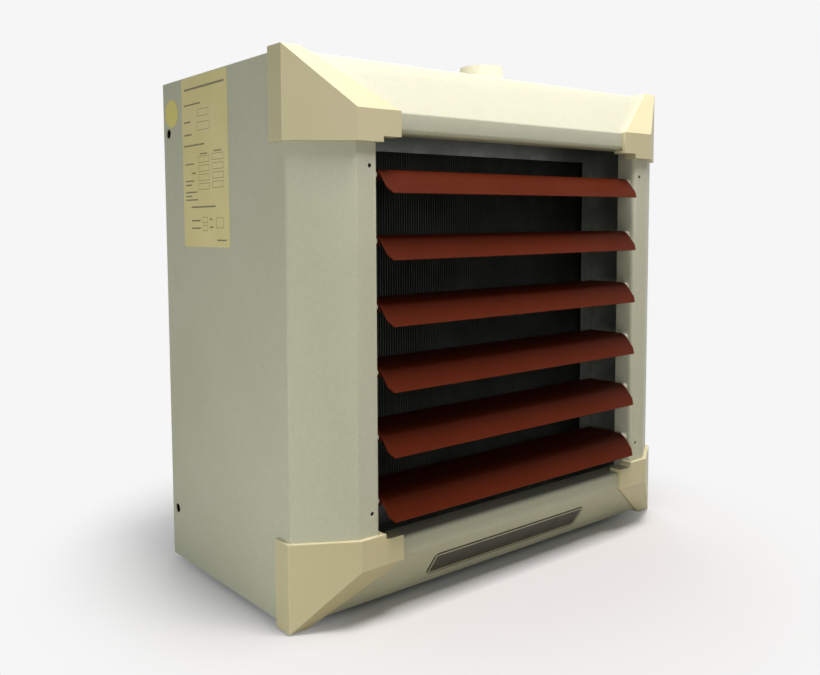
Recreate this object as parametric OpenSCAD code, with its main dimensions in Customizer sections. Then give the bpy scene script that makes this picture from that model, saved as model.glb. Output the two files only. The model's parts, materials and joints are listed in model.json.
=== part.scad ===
// Suspended hydronic unit heater: a sheet cabinet with a finned coil, louvers and a rear fan.
// X runs across the front to the right, Y runs from the front to the rear, Z runs up.
// The origin is the centre of the hanger holes, on the top panel's outer face.
// Each module is drawn with the front strips at y = 0 and the bottom panel's outer face at z = 0.

/* [Cabinet] */
// Width of the cabinet across its two side panels
cabinet_w = 532; // [524:1:600]
// Height of the cabinet from bottom panel to top panel
cabinet_h = 504; // [494:1:560]
// Depth of the cabinet from its front strips to its rear face
cabinet_d = 264; // [255:1:320]
// Thickness of the painted sheet
sheet_t = 1; // [0.8:0.1:1.4]
// Outer radius of the bends in the sheet
bend_r = 4; // [2.5:0.5:6]
// Width of the slanted face on each side
slant_w = 53; // [47:1:58]
// Height of the slanted face at top and bottom
slant_h = 50; // [45:1:55]
// Depth of the slanted faces, front to back
slant_d = 31; // [26:1:36]
// Width of the upright strips beside the discharge opening
strip_w = 23.5; // [20:0.5:27]
// Height of the strips above and below the discharge opening
strip_h = 18; // [16:1:22]
// Depth of the flange that turns in round the discharge opening
return_d = 22; // [19:1:26]
// Width of the flange at the rear edge of each panel
rear_flange_w = 15; // [13:1:18]
// Width of the flange that each side panel turns in under the top panel
side_flange_w = 28; // [24:1:32]

/* [Corner caps] */
// Thickness of the moulded caps, by which they stand proud
cap_t = 4; // [3:0.5:5]
// Length of a cap down the upright strip
cap_post_l = 81; // [79:1:95]
// Length of a cap along the horizontal strip
cap_rail_l = 105; // [95:1:125]
// Length of a cap along the cabinet's top or bottom edge
cap_edge_l = 20; // [14:1:26]
// Depth of a cap's flange behind the slanted face
cap_flange_d = 21; // [16:1:28]
// Depth of a cap's lip inside the discharge opening
cap_lip_d = 10; // [8:1:14]

/* [Louvers] */
// Distance of the highest pivot below the opening's top edge
louver_top_gap = 36.5; // [33:0.5:40]
// Distance of the lowest pivot above the opening's bottom edge
louver_bottom_gap = 36.5; // [33:0.5:40]
// Distance of the pivots behind the front strips
louver_pivot_y = 10; // [9:0.5:12]
// Gap between a blade's end and the edge of the opening
louver_end_gap = 5.5; // [5:0.5:9]
// Thickness of a louver blade
louver_t = 1; // [0.8:0.1:1.2]
// Reach of a blade behind its pivot
louver_rear_l = 44; // [36:1:46]
// Reach of a blade in front of its pivot
louver_front_l = 20; // [17:1:21]
// Drop of a blade's front edge below its pivot
louver_drop = 16.5; // [15:0.5:18]
// Radius of the pivot pins
pin_r = 2; // [1.7:0.1:2.3]
// Outer radius of the bushes that carry the pins
bush_r = 3.2; // [3:0.1:3.8]

/* [Coil] */
// Distance of the coil casing behind the front strips
casing_y = 64; // [62:1:70]
// Depth of the coil casing
casing_d = 66; // [62:1:72]
// Width of the casing flange that shows inside the opening
casing_lap = 10; // [8:1:13]
// Thickness of the casing sheet
casing_t = 1.2; // [1:0.1:1.5]
// Distance from one fin to the next
fin_pitch = 4; // [3.5:0.1:5]
// Thickness of a fin
fin_t = 1.2; // [0.8:0.1:1.4]
// Depth of the open gaps between the fins
fin_gap_d = 17; // [12:1:18]
// Outer radius of a coil tube
tube_r = 7.95; // [6.5:0.05:8.5]
// Outer radius of the upright headers
header_r = 18; // [17:0.5:19]
// Outer radius of the cross pipes that join the headers to the connections
cross_pipe_r = 19.5; // [19:0.5:20.5]
// Wall thickness of tubes and headers
pipe_wall = 1.5; // [1:0.1:1.8]
// Distance of the supply and return connections to the right of the middle
pipe_x = 40; // [20:1:60]
// Outer radius of the supply and return connections
socket_r = 24.15; // [23:0.05:26]
// Bore radius of the supply and return connections
socket_bore_r = 19.05; // [18:0.05:20]
// Height of the supply connection above the top panel
socket_rise = 23; // [22:1:40]
// Depth of the threaded bore in each connection
socket_depth = 18; // [14:1:20]

/* [Fan] */
// Radius of the fan at its blade tips
fan_r = 164; // [150:1:166]
// Running gap between the blade tips and the inlet ring
tip_gap = 7; // [5:0.5:9]
// Radius of the flare on the inlet ring
flare_r = 14; // [12:1:16]
// Distance of the fan's middle in front of the cabinet's rear face
fan_inset = 20; // [18:1:26]
// Width of a fan blade, measured along its curve
blade_chord = 92; // [80:1:96]
// Angle of a fan blade to the plane of rotation
blade_angle = 27; // [22:1:30]
// Radius to which a fan blade is curved
camber_r = 120; // [105:1:150]
// Thickness of a fan blade
blade_t = 1.6; // [1.2:0.1:2]
// Radius of the motor shaft
shaft_r = 6.35; // [6:0.05:7]

/* [Motor and guard] */
// Radius of the motor shell
motor_r = 64; // [62:1:68]
// Length of the motor shell between its end bells
motor_l = 74; // [66:1:84]
// Depth of each end bell
bell_d = 18; // [17:0.5:22]
// Distance of the guard behind the cabinet
guard_stand = 24; // [22:1:28]
// Distance from the inlet ring's outer edge to the guard's legs
guard_margin = 21; // [17:1:25]
// Radius of the guard wire
wire_r = 2; // [1.5:0.1:2.5]
// Distance from one guard ring to the next
ring_pitch = 14; // [12:1:18]

/* [Junction box] */
// Width and height of the junction box
box_w = 70; // [64:1:76]
// Room behind the conduit inside the junction box
box_room = 7; // [5:0.5:12]
// Radius of the flexible conduit between the box and the motor
lead_r = 5; // [4:0.5:5.5]

/* [Mountings] */
// Radius of the hanger holes
hanger_r = 5; // [4:0.1:6]
// Distance of the hanger holes from the cabinet's sides
hanger_side_inset = 56; // [46:1:80]
// Distance of the rear hanger holes in front of the cabinet's rear face
hanger_rear_inset = 46; // [30:1:60]
// Distance of the front hanger holes behind the front strips
hanger_front_y = 48; // [42:1:60]
// Radius of the bracket holes in the side panels
bracket_r = 5; // [4:0.1:6]
// Distance of the bracket holes from the cabinet's top and bottom
bracket_end_inset = 52; // [40:1:70]
// Distance of the bracket holes in front of the cabinet's rear face
bracket_inset = 14; // [13:1:17]
// Radius of the accessory holes in the upright strips
accessory_r = 2; // [1.5:0.1:2.5]
// Distance of the accessory holes from the opening's top and bottom edges
accessory_end_inset = 29.5; // [24:0.5:36]

/* [Hidden] */

// Faces on a round surface, and steps along a rounded bend
$fn = 48;
bend_steps = 5;
// Overrun of a cutting shape past the face that it cuts
cut = 1;
// Reach of a cutting shape that clears the whole cabinet
far = 1000;
// Radial clearance of a turning fit, and of a pushed-in fit
run_gap = 0.05;
seat_gap = 0.02;
// Clearance between round faces that lie against each other
rest_gap = 0.3;

// Colours
paint = "#c9cbb6";
cap_colour = "#d9d3ae";
louver_colour = "#8f2a1e";
steel = "#9a9c98";
dark_steel = "#3a3a38";
copper = "#a8653c";
motor_paint = "#2e3133";
nylon = "#e8e6da";

// Places that follow from the sizes above
half_w = cabinet_w / 2;
mid_z = cabinet_h / 2;
open_x = half_w - slant_w - strip_w;
open_low = slant_h + strip_h;
open_high = cabinet_h - open_low;
rear_face_y = cabinet_d - sheet_t;
hanger_span_x = cabinet_w - 2 * hanger_side_inset;
hanger_span_y = cabinet_d - hanger_rear_inset - hanger_front_y;
hanger_mid_y = hanger_front_y + hanger_span_y / 2;
bracket_rise = cabinet_h - 2 * bracket_end_inset;
accessory_rise = open_high - open_low - 2 * accessory_end_inset;

// Bent sheet: a path with round corners, and a second path one thickness to its left
function unit(v) = v / norm(v);
function left_of(p, q) = let(d = unit(q - p)) [-d.y, d.x];
function left_in(path, i) = i > 0 ? left_of(path[i - 1], path[i]) : left_of(path[0], path[1]);
function left_out(path, i) = i < len(path) - 1 ? left_of(path[i], path[i + 1]) : left_in(path, i);
function shifted(path, t) = [for (i = [0:len(path) - 1])
  let(a = left_in(path, i), b = left_out(path, i)) path[i] + t * (a + b) / (1 + a * b)];
function turns_left(a, b, c) = cross(b - a, c - b) > 0;
function arc_at(a, b, c, r) =
  let(back = unit(a - b), on = unit(c - b), half = acos(back * on) / 2,
      centre = b + unit(back + on) * r / sin(half),
      first = b + back * r / tan(half) - centre, last = b + on * r / tan(half) - centre,
      start = atan2(first.y, first.x), sweep = atan2(cross(first, last), first * last))
  [for (i = [0:bend_steps]) let(turn = start + sweep * i / bend_steps) centre + r * [cos(turn), sin(turn)]];
function rounded(path, r_left, r_right) = [for (i = [0:len(path) - 1])
  let(a = path[i - 1], b = path[i], c = path[i + 1])
  each (i == 0 || i == len(path) - 1 ? [b] : arc_at(a, b, c, turns_left(a, b, c) ? r_left : r_right))];
function rounded_loop(loop, r) = [for (i = [0:len(loop) - 1])
  each arc_at(loop[(i + len(loop) - 1) % len(loop)], loop[i], loop[(i + 1) % len(loop)], r)];
function flipped(path) = [for (i = [len(path) - 1:-1:0]) path[i]];
function mirrored(path) = [for (p = path) [-p.x, p.y]];
function sheet_left_face(path, r, t) = rounded(shifted(path, t), r - t, r);
function sheet_outline(path, r, t) = concat(rounded(path, r, r - t), flipped(sheet_left_face(path, r, t)));

// Section of a panel from its opening flange to its rear flange, as [across, depth]
function panel_path(half, slant, strip) = [
  [half - slant - strip, return_d], [half - slant - strip, 0], [half - slant, 0],
  [half, slant_d], [half, cabinet_d], [half - rear_flange_w, cabinet_d]];
function panel_outline(half, slant, strip) = sheet_outline(panel_path(half, slant, strip), bend_r, sheet_t);
// Outline of the whole cabinet in the same section, with rounded bends
function body_outline(half, slant) = rounded_loop([
  [-half, cabinet_d], [-half, slant_d], [slant - half, 0],
  [half - slant, 0], [half, slant_d], [half, cabinet_d]], bend_r);
// Area between the two side panels, in which the top and bottom panels lie
function between_sides() =
  let(right = concat([[open_x, -cut], [open_x, return_d]],
    sheet_left_face(panel_path(half_w, slant_w, strip_w), bend_r, sheet_t),
    [[half_w - rear_flange_w, cabinet_d + cut]]))
  concat(right, flipped(mirrored(right)));

// Slanted outline that lies a given distance outside the sheet
function slant_l(slant) = norm([slant, slant_d]);
function side_edge_y(slant, grow) = slant_d - grow * (slant_l(slant) - slant_d) / slant;
function front_edge(half, slant, grow) = half - slant + grow * (slant_l(slant) - slant) / slant_d;
function grown_outline(half, slant, grow) = [
  [-half - grow, cabinet_d], [-half - grow, side_edge_y(slant, grow)],
  [-front_edge(half, slant, grow), -grow], [front_edge(half, slant, grow), -grow],
  [half + grow, side_edge_y(slant, grow)], [half + grow, cabinet_d]];

// Helpers that place shapes
module upright(z0, z1) translate([0, 0, z0]) linear_extrude(z1 - z0) children();
// Carries a section drawn as [height, depth] along X
module crosswise(x0, x1) translate([x1, 0, 0]) rotate([0, -90, 0]) linear_extrude(x1 - x0) children();
// Carries a section drawn as [depth, height] along X
module lengthwise(x0, x1) translate([x0, 0, 0]) rotate([90, 0, 90]) linear_extrude(x1 - x0) children();
// Carries an outline drawn as [across, height] from y0 to y1
module frontwise(y0, y1) translate([0, y1, 0]) rotate([90, 0, 0]) linear_extrude(y1 - y0) children();
module block(low, high) translate(low) cube(high - low);
module rod_x(x0, x1, r) translate([x0, 0, 0]) rotate([0, 90, 0]) cylinder(h = x1 - x0, r = r);
module rod_y(y0, y1, r) translate([0, y0, 0]) rotate([-90, 0, 0]) cylinder(h = y1 - y0, r = r);
module rod_z(z0, z1, r) translate([0, 0, z0]) cylinder(h = z1 - z0, r = r);
module both_sides() {
  children();
  mirror([1, 0, 0]) children();
}
module upside_down() translate([0, 0, cabinet_h]) mirror([0, 0, 1]) children();
// Moves a piece from the drawing position to the frame of the whole part
module placed() translate([0, -hanger_mid_y, -cabinet_h]) children();

// Fasteners
hex_across = 8;
hex_head_h = 4;
hex_washer_r = 5.5;
hex_washer_t = 1;
screw_r = 2.1;
screw_l = 9;
screw_hole_r = screw_r + rest_gap / 2;
module hex_prism(across, h) cylinder(h = h, r = across / sqrt(3), $fn = 6);
// Washer-head screw that points down, with its washer resting on z = 0
module hex_screw() {
  rod_z(-screw_l, hex_washer_t, screw_r);
  rod_z(0, hex_washer_t, hex_washer_r);
  translate([0, 0, hex_washer_t]) hex_prism(hex_across, hex_head_h);
}

// Cabinet panels
top_screw_inset = 18;
top_screw_x = half_w - top_screw_inset;
screw_rear_inset = 32;
top_screw_front = 127;
bottom_screw_front = 100;
top_screw_ys = [top_screw_front, cabinet_d - screw_rear_inset];
bottom_screw_ys = [bottom_screw_front, cabinet_d - screw_rear_inset];
rear_screw_lap = 5;
rear_screw_inset = bend_r + rear_screw_lap;
rear_screw_x = half_w - rear_screw_inset;
rear_screw_end_inset = 92;
rear_screw_rises = [for (s = [-1, 0, 1]) s * (mid_z - rear_screw_end_inset)];
side_flange_front = 46;
louver_count = 6;
louver_pitch = (open_high - open_low - louver_top_gap - louver_bottom_gap) / (louver_count - 1);
function pivot_z(i) = open_high - louver_top_gap - i * louver_pitch;
module at_pivot(i) translate([0, louver_pivot_y, pivot_z(i)]) children();
module at_bracket_holes() for (s = [-1, 1])
  translate([0, cabinet_d - bracket_inset, mid_z + s * bracket_rise / 2]) children();
accessory_inset = 9;
module at_accessory_holes() for (s = [-1, 1])
  translate([open_x + accessory_inset, 0, mid_z + s * accessory_rise / 2]) children();
module at_hangers() for (s = [-1, 1]) for (y = [hanger_front_y, hanger_front_y + hanger_span_y])
  translate([s * hanger_span_x / 2, y, 0]) children();

module side_panel() difference() {
  union() {
    intersection() {
      upright(0, cabinet_h) polygon(panel_outline(half_w, slant_w, strip_w));
      crosswise(-cut, half_w + cut) translate([mid_z, 0]) polygon(body_outline(mid_z, slant_h));
    }
    for (z = [sheet_t, cabinet_h - 2 * sheet_t])
      block([half_w - sheet_t - side_flange_w, side_flange_front, z],
            [half_w - sheet_t, rear_y - sheet_t, z + sheet_t]);
  }
  for (i = [0:louver_count - 1]) at_pivot(i)
    rod_x(open_x - cut, open_x + sheet_t + cut, bush_r + seat_gap);
  at_bracket_holes() rod_x(half_w - sheet_t - cut, half_w + cut, bracket_r);
  at_accessory_holes() rod_y(-cut, sheet_t + cut, accessory_r);
  block([open_x - cut, sheet_t, -cut], [open_x + bend_r, return_d + cut, open_low]);
  block([open_x - cut, sheet_t, open_high], [open_x + bend_r, return_d + cut, cabinet_h + cut]);
  for (y = top_screw_ys) translate([top_screw_x, y, 0])
    rod_z(cabinet_h - 2 * sheet_t - cut, cabinet_h + cut, screw_hole_r);
  for (y = bottom_screw_ys) translate([top_screw_x, y, 0]) rod_z(-cut, 2 * sheet_t + cut, screw_hole_r);
  for (z = rear_screw_rises) translate([rear_screw_x, 0, mid_z + z])
    rod_y(rear_face_y - cut, cabinet_d + cut, screw_hole_r);
}
module left_side_panel() color(paint) placed() mirror([1, 0, 0]) side_panel();
module right_side_panel() color(paint) placed() side_panel();

// Top panel without its holes, which the bottom panel repeats upside down
module cross_panel() difference() {
  intersection() {
    crosswise(-half_w, half_w) translate([mid_z, 0]) polygon(panel_outline(mid_z, slant_h, strip_h));
    upright(-cut, cabinet_h + cut) polygon(between_sides());
  }
  both_sides() block([open_x, -cut, mid_z], [half_w, return_d + cut, cabinet_h - slant_h]);
}
module top_panel() color(paint) placed() difference() {
  cross_panel();
  translate([pipe_x, coil_y, 0]) rod_z(cabinet_h - sheet_t - cut, cabinet_h + cut, neck_r + rest_gap);
  at_hangers() rod_z(cabinet_h - sheet_t - cut, cabinet_h + cut, hanger_r);
  both_sides() for (y = top_screw_ys) translate([top_screw_x, y, 0])
    rod_z(cabinet_h - sheet_t - cut, cabinet_h + cut, screw_hole_r);
}
module bottom_panel() color(paint) placed() difference() {
  upside_down() cross_panel();
  translate([pipe_x, coil_y, 0]) rod_z(-cut, sheet_t + cut, socket_r + rest_gap);
  both_sides() for (y = bottom_screw_ys) translate([top_screw_x, y, 0])
    rod_z(-cut, sheet_t + cut, screw_hole_r);
}

// Rear panel with its drawn inlet ring
rear_t = 1.2;
rear_y = rear_face_y - rear_t;
rear_edge_gap = 0.4;
rear_inset = max(bend_r, 2 * sheet_t) + rear_edge_gap;
throat_r = fan_r + tip_gap;
throat_lip = 14;
flare_lap = 4;
flare_mid_r = throat_r + flare_r;
flare_mid_y = rear_face_y - flare_r;
ring_faces = 96;
wire_faces = 24;
module rear_panel() color(paint) placed() union() {
  difference() {
    block([rear_inset - half_w, rear_y, rear_inset],
          [half_w - rear_inset, rear_face_y, cabinet_h - rear_inset]);
    translate([0, 0, mid_z]) rod_y(rear_y - cut, rear_face_y + cut, flare_mid_r, $fn = ring_faces);
    both_sides() for (z = rear_screw_rises) translate([rear_screw_x, 0, mid_z + z])
      rod_y(rear_y - cut, rear_face_y + cut, screw_hole_r);
    at_guard_feet() rod_y(rear_y - cut, rear_face_y + cut, screw_hole_r);
    at_box_screws() rod_y(rear_y - cut, rear_face_y + cut, screw_hole_r);
  }
  translate([0, 0, mid_z]) rotate([-90, 0, 0]) rotate_extrude($fn = ring_faces) {
    difference() {
      intersection() {
        translate([flare_mid_r, flare_mid_y]) circle(r = flare_r);
        translate([throat_r, flare_mid_y]) square([flare_r, flare_r]);
      }
      translate([flare_mid_r, flare_mid_y]) circle(r = flare_r - rear_t);
    }
    translate([throat_r, flare_mid_y - throat_lip]) square([rear_t, throat_lip]);
    translate([flare_mid_r, rear_y]) square([flare_lap, rear_t]);
  }
}

// Corner caps: a moulded shell that lies on the panels and hooks into the opening
module frame_shape(grow) difference() {
  intersection() {
    upright(-grow, cabinet_h + grow) polygon(grown_outline(half_w, slant_w, grow));
    crosswise(-half_w - grow, half_w + grow) translate([mid_z, 0])
      polygon(grown_outline(mid_z, slant_h, grow));
  }
  block([grow - open_x, -far, open_low + grow], [open_x - grow, far, open_high - grow]);
}
// The cap's outline seen from the front, at the cabinet's top right corner
module cap_outline() {
  side = half_w + cap_t;
  top = cabinet_h + cap_t;
  knee = mid_z + front_edge(mid_z, slant_h, cap_t);
  polygon([
    [side, top], [side - cap_edge_l, top], [side - cap_rail_l, knee], [side - cap_rail_l, open_high - cap_t],
    [open_x - cap_t, open_high - cap_t], [open_x - cap_t, top - cap_post_l], [side, top - cap_post_l]]);
}
module corner_cap() difference() {
  intersection() {
    frame_shape(cap_t);
    frontwise(-cap_t, side_edge_y(slant_w, cap_t) + cap_flange_d) cap_outline();
  }
  frame_shape(0);
  block([0, cap_lip_d, 0], [open_x, far, open_high]);
}
module corner_cap_top_right() color(cap_colour) placed() corner_cap();
module corner_cap_top_left() color(cap_colour) placed() mirror([1, 0, 0]) corner_cap();
module corner_cap_bottom_right() color(cap_colour) placed() upside_down() corner_cap();
module corner_cap_bottom_left() color(cap_colour) placed() mirror([1, 0, 0]) upside_down() corner_cap();

// Louvers: a rolled blade with an ear at each end, turning on a riveted pin in a nylon bush
louver_half = open_x - louver_end_gap;
louver_bend_r = 12;
louver_corner_w = 6;
louver_corner_d = 5;
louver_rise = 0.9;
louver_crown = 2.8;
ear_t = 1.5;
ear_wall = 2.5;
pin_head_lap = 0.7;
pin_head_r = pin_r + pin_head_lap;
ear_r = pin_head_r + ear_wall;
pin_head_t = 1.2;
pin_end_gap = 1;
bush_lap = 1.4;
bush_flange_r = bush_r + bush_lap;
bush_flange_t = 1.2;
bush_tail = 4;
louver_level = pin_head_r + rest_gap + louver_t + louver_rise;
louver_path = [
  [louver_rear_l, louver_level], [-louver_crown, louver_level], [-louver_front_l, -louver_drop]];
// Area below a blade's upper face, which keeps its ears from standing above it
module under_louver() polygon(concat(
  rounded(louver_path, louver_bend_r, louver_bend_r), [[-louver_front_l, -far], [louver_rear_l, -far]]));
module louver(i) color(louver_colour) placed() at_pivot(i) difference() {
  union() {
    lengthwise(-louver_half, louver_half) polygon(sheet_outline(louver_path, louver_bend_r, louver_t));
    intersection() {
      both_sides() rod_x(louver_half - ear_t, louver_half, ear_r);
      lengthwise(-half_w, half_w) under_louver();
    }
  }
  both_sides() {
    rod_x(louver_half - ear_t - cut, louver_half + cut, pin_r + seat_gap);
    upright(-far, 0) polygon([
      [louver_half, louver_corner_d - louver_front_l], [louver_half + cut, louver_corner_d - louver_front_l],
      [louver_half + cut, -louver_front_l - cut], [louver_half - louver_corner_w, -louver_front_l - cut]]);
  }
}
module pin_pair(i) color(steel) placed() at_pivot(i) both_sides() {
  rod_x(louver_half - ear_t - pin_head_t, louver_half - ear_t, pin_head_r);
  rod_x(louver_half - ear_t - pin_head_t, open_x + sheet_t + bush_tail - pin_end_gap, pin_r);
}
module louver_1() louver(0);
module louver_2() louver(1);
module louver_3() louver(2);
module louver_4() louver(3);
module louver_5() louver(4);
module louver_6() louver(5);
module louver_pins_1() pin_pair(0);
module louver_pins_2() pin_pair(1);
module louver_pins_3() pin_pair(2);
module louver_pins_4() pin_pair(3);
module louver_pins_5() pin_pair(4);
module louver_pins_6() pin_pair(5);
module bush() difference() {
  union() {
    rod_x(louver_half + 2 * rest_gap, open_x + sheet_t + bush_tail, bush_r);
    rod_x(open_x - bush_flange_t, open_x, bush_flange_r);
  }
  rod_x(louver_half - cut, open_x + sheet_t + bush_tail + cut, pin_r + run_gap);
}
module louver_bushes() color(nylon) placed() both_sides() for (i = [0:louver_count - 1]) at_pivot(i) bush();

// Discharge collar between the front strips and the coil casing
collar_out = 12;
module opening_ring(in, out, y0, y1) difference() {
  block([-open_x - out, y0, open_low - out], [open_x + out, y1, open_high + out]);
  block([-open_x - in, y0 - cut, open_low - in], [open_x + in, y1 + cut, open_high + in]);
}
module discharge_collar() color(steel) placed()
  opening_ring(collar_out - sheet_t, collar_out, sheet_t, casing_y);

// Coil casing, a box of channels with a front flange that reaches out to the collar
casing_out = 2;
casing_flange_out = 20;
coil_y = casing_y + casing_d / 2;
module coil_casing() color(steel) placed() difference() {
  union() {
    opening_ring(-casing_lap, casing_flange_out, casing_y, casing_y + casing_t);
    opening_ring(casing_out - casing_t, casing_out, casing_y, casing_y + casing_d);
    opening_ring(-casing_lap, casing_out, casing_y + casing_d - casing_t, casing_y + casing_d);
  }
  at_tubes() both_sides() rod_x(open_x, open_x + casing_out + cut, tube_r + seat_gap);
}

// Fin pack: fins over their whole width, open at front and rear, closed round the tubes
fin_recess = 4;
fin_edge_gap = 1.5;
fin_half = open_x + casing_out - casing_t - fin_edge_gap;
fin_low = open_low - casing_out + casing_t + fin_edge_gap;
fin_high = open_high + casing_out - casing_t - fin_edge_gap;
fin_y0 = casing_y + casing_t + fin_recess;
fin_y1 = casing_y + casing_d - casing_t - fin_recess;
fin_count = floor((2 * fin_half - fin_t) / fin_pitch);
fin_start = -fin_count * fin_pitch / 2 - fin_t / 2;
function fin_x(i) = fin_start + i * fin_pitch;
function fin_gap(i, core_y) = i < fin_count ? [[fin_x(i) + fin_t, core_y], [fin_x(i + 1), core_y]] : [];
function fin_edge(face_y, core_y) = [for (i = [0:fin_count])
  each concat([[fin_x(i), face_y], [fin_x(i) + fin_t, face_y]], fin_gap(i, core_y))];
tube_count = 12;
tube_pitch = (fin_high - fin_low) / tube_count;
module at_tubes() for (i = [0:tube_count - 1])
  translate([0, coil_y, fin_low + (i + 1 / 2) * tube_pitch]) children();
module fin_pack() color("silver") placed() difference() {
  upright(fin_low, fin_high) polygon(concat(
    fin_edge(fin_y0, fin_y0 + fin_gap_d), flipped(fin_edge(fin_y1, fin_y1 - fin_gap_d))));
  at_tubes() rod_x(-fin_half - cut, fin_half + cut, tube_r + seat_gap);
}

// Coil tubes run from one upright header to the other
header_space = 12;
tube_reach = 5;
header_x = open_x + casing_out + header_space + header_r;
tube_end_x = header_x - header_r + pipe_wall + tube_reach;
module coil_tubes() color(copper) placed() at_tubes() difference() {
  rod_x(-tube_end_x, tube_end_x, tube_r);
  rod_x(-tube_end_x - cut, tube_end_x + cut, tube_r - pipe_wall);
}
header_end = 14;
pipe_end = 3;
neck_r = 17;
neck_wall = 1.5;
supply_gap = 9;
socket_top = cabinet_h + socket_rise;
socket_floor = socket_top - socket_depth;
supply_z = cabinet_h - sheet_t - supply_gap - cross_pipe_r;
socket_lap = 2;
return_gap = 6;
return_z = open_low - casing_out - return_gap - cross_pipe_r;
header_low = fin_low - header_end;
header_high = fin_high + header_end;
module supply_header() color(copper) placed() difference() {
  union() {
    translate([-header_x, coil_y, 0]) rod_z(header_low, supply_z, header_r);
    translate([0, coil_y, supply_z])
      rod_x(-header_x - header_r - pipe_end, pipe_x + socket_r + pipe_end, cross_pipe_r);
    translate([pipe_x, coil_y, 0]) rod_z(supply_z, cabinet_h + cut, neck_r);
    translate([pipe_x, coil_y, 0]) rod_z(cabinet_h + rest_gap, socket_top, socket_r);
  }
  translate([-header_x, coil_y, 0]) rod_z(header_low + pipe_wall, supply_z, header_r - pipe_wall);
  translate([0, coil_y, supply_z]) rod_x(pipe_wall - header_x - header_r - pipe_end,
    pipe_x + socket_r + pipe_end - pipe_wall, cross_pipe_r - pipe_wall);
  translate([pipe_x, coil_y, 0]) rod_z(supply_z, socket_floor + cut, neck_r - neck_wall);
  translate([pipe_x, coil_y, 0]) rod_z(socket_floor, socket_top + cut, socket_bore_r);
  at_tubes() rod_x(-header_x, header_r - header_x + cut, tube_r + seat_gap);
}
module return_header() color(copper) placed() difference() {
  union() {
    translate([header_x, coil_y, 0]) rod_z(return_z, header_high, header_r);
    translate([0, coil_y, return_z])
      rod_x(pipe_x - socket_r - pipe_end, header_x + header_r + pipe_end, cross_pipe_r);
    translate([pipe_x, coil_y, 0]) rod_z(0, return_z - cross_pipe_r + socket_lap, socket_r);
    translate([pipe_x, coil_y, 0]) rod_z(0, return_z, neck_r);
  }
  translate([header_x, coil_y, 0]) rod_z(return_z, header_high - pipe_wall, header_r - pipe_wall);
  translate([0, coil_y, return_z]) rod_x(pipe_x - socket_r - pipe_end + pipe_wall,
    header_x + header_r + pipe_end - pipe_wall, cross_pipe_r - pipe_wall);
  translate([pipe_x, coil_y, 0]) rod_z(socket_depth - cut, return_z, neck_r - neck_wall);
  translate([pipe_x, coil_y, 0]) rod_z(-cut, socket_depth, socket_bore_r);
  at_tubes() rod_x(header_x - header_r - cut, header_x, tube_r + seat_gap);
}

// Channel brackets that carry the casing on the bottom panel
support_t = 2;
support_w = 60;
support_x = 90;
support_inset = 3;
support_foot = 9;
module support_section(h) polygon([
  [0, 0], [support_foot, 0], [support_foot, support_t], [support_t, support_t],
  [support_t, h - support_t], [support_foot, h - support_t], [support_foot, h], [0, h]]);
module coil_supports() color(steel) placed() translate([0, coil_y, sheet_t]) both_sides()
  for (side = [0, 1]) mirror([0, side, 0]) translate([0, support_inset - casing_d / 2, 0])
    lengthwise(support_x, support_x + support_w) support_section(open_low - casing_out - sheet_t);

// Fan: curved sheet blades on a round plate
fan_y = cabinet_d - fan_inset;
blade_count = 5;
blade_root_r = 36;
spider_r = 52;
spider_t = 2.5;
barrel_r = 16;
barrel_front = 10;
barrel_rear = 24;
hub_flange_r = 34;
hub_flange_t = 4;
rivet_r = 2.5;
rivet_head_r = 4.5;
rivet_head_t = 1.5;
rivet_circle_r = 26;
blade_tip_shares = [-0.42, 0.38];
blade_root_shares = [-0.28, 0.24];
blade_corner_r = 18;
// Turns a piece drawn about +Z so that it spins about +Y at the fan's middle
module on_fan_axis(y0) translate([0, y0, mid_z]) rotate([-90, 0, 0]) children();
module blade_section() {
  span = asin(blade_chord / camber_r / 2);
  translate([0, -camber_r * cos(span / 2)]) intersection() {
    difference() {
      circle(r = camber_r + blade_t / 2, $fn = ring_faces);
      circle(r = camber_r - blade_t / 2, $fn = ring_faces);
    }
    polygon([[0, 0], 2 * camber_r * [-sin(span), cos(span)], 2 * camber_r * [sin(span), cos(span)]]);
  }
}
module blade_plan() {
  tip = blade_chord * blade_tip_shares;
  root = blade_chord * blade_root_shares;
  tip_x = sqrt(fan_r * fan_r - tip[0] * tip[0]);
  polygon(rounded([
    [blade_root_r, root[0]], [tip_x, tip[0]], [fan_r + blade_corner_r, 0], [tip_x, tip[1]],
    [blade_root_r, root[1]]], blade_corner_r, blade_corner_r));
}
module fan_blade() intersection() {
  rotate([blade_angle, 0, 0]) lengthwise(blade_root_r, fan_r + cut) blade_section();
  upright(-blade_chord, blade_chord) blade_plan();
  rod_z(-blade_chord, blade_chord, fan_r, $fn = ring_faces);
}
module at_rivets() for (i = [0:blade_count - 1]) rotate([0, 0, (i + 1 / 2) * 360 / blade_count])
  translate([rivet_circle_r, 0, 0]) children();
module fan_blades() color("gainsboro") placed() on_fan_axis(fan_y) difference() {
  union() {
    for (i = [0:blade_count - 1]) rotate([0, 0, i * 360 / blade_count]) fan_blade();
    rod_z(-spider_t / 2, spider_t / 2, spider_r);
  }
  rod_z(-blade_chord, blade_chord, barrel_r + seat_gap);
  at_rivets() rod_z(-blade_chord, blade_chord, rivet_r + seat_gap);
}
module fan_hub() color(steel) placed() on_fan_axis(fan_y) difference() {
  union() {
    rod_z(-barrel_front, barrel_rear, barrel_r);
    rod_z(spider_t / 2, spider_t / 2 + hub_flange_t, hub_flange_r);
  }
  rod_z(-barrel_front - cut, barrel_rear + cut, shaft_r + seat_gap);
  at_rivets() rod_z(0, hub_flange_t + spider_t, rivet_r + seat_gap);
  translate([0, 0, set_screw_z]) rod_x(0, barrel_r + cut, set_screw_r + seat_gap);
}
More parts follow.
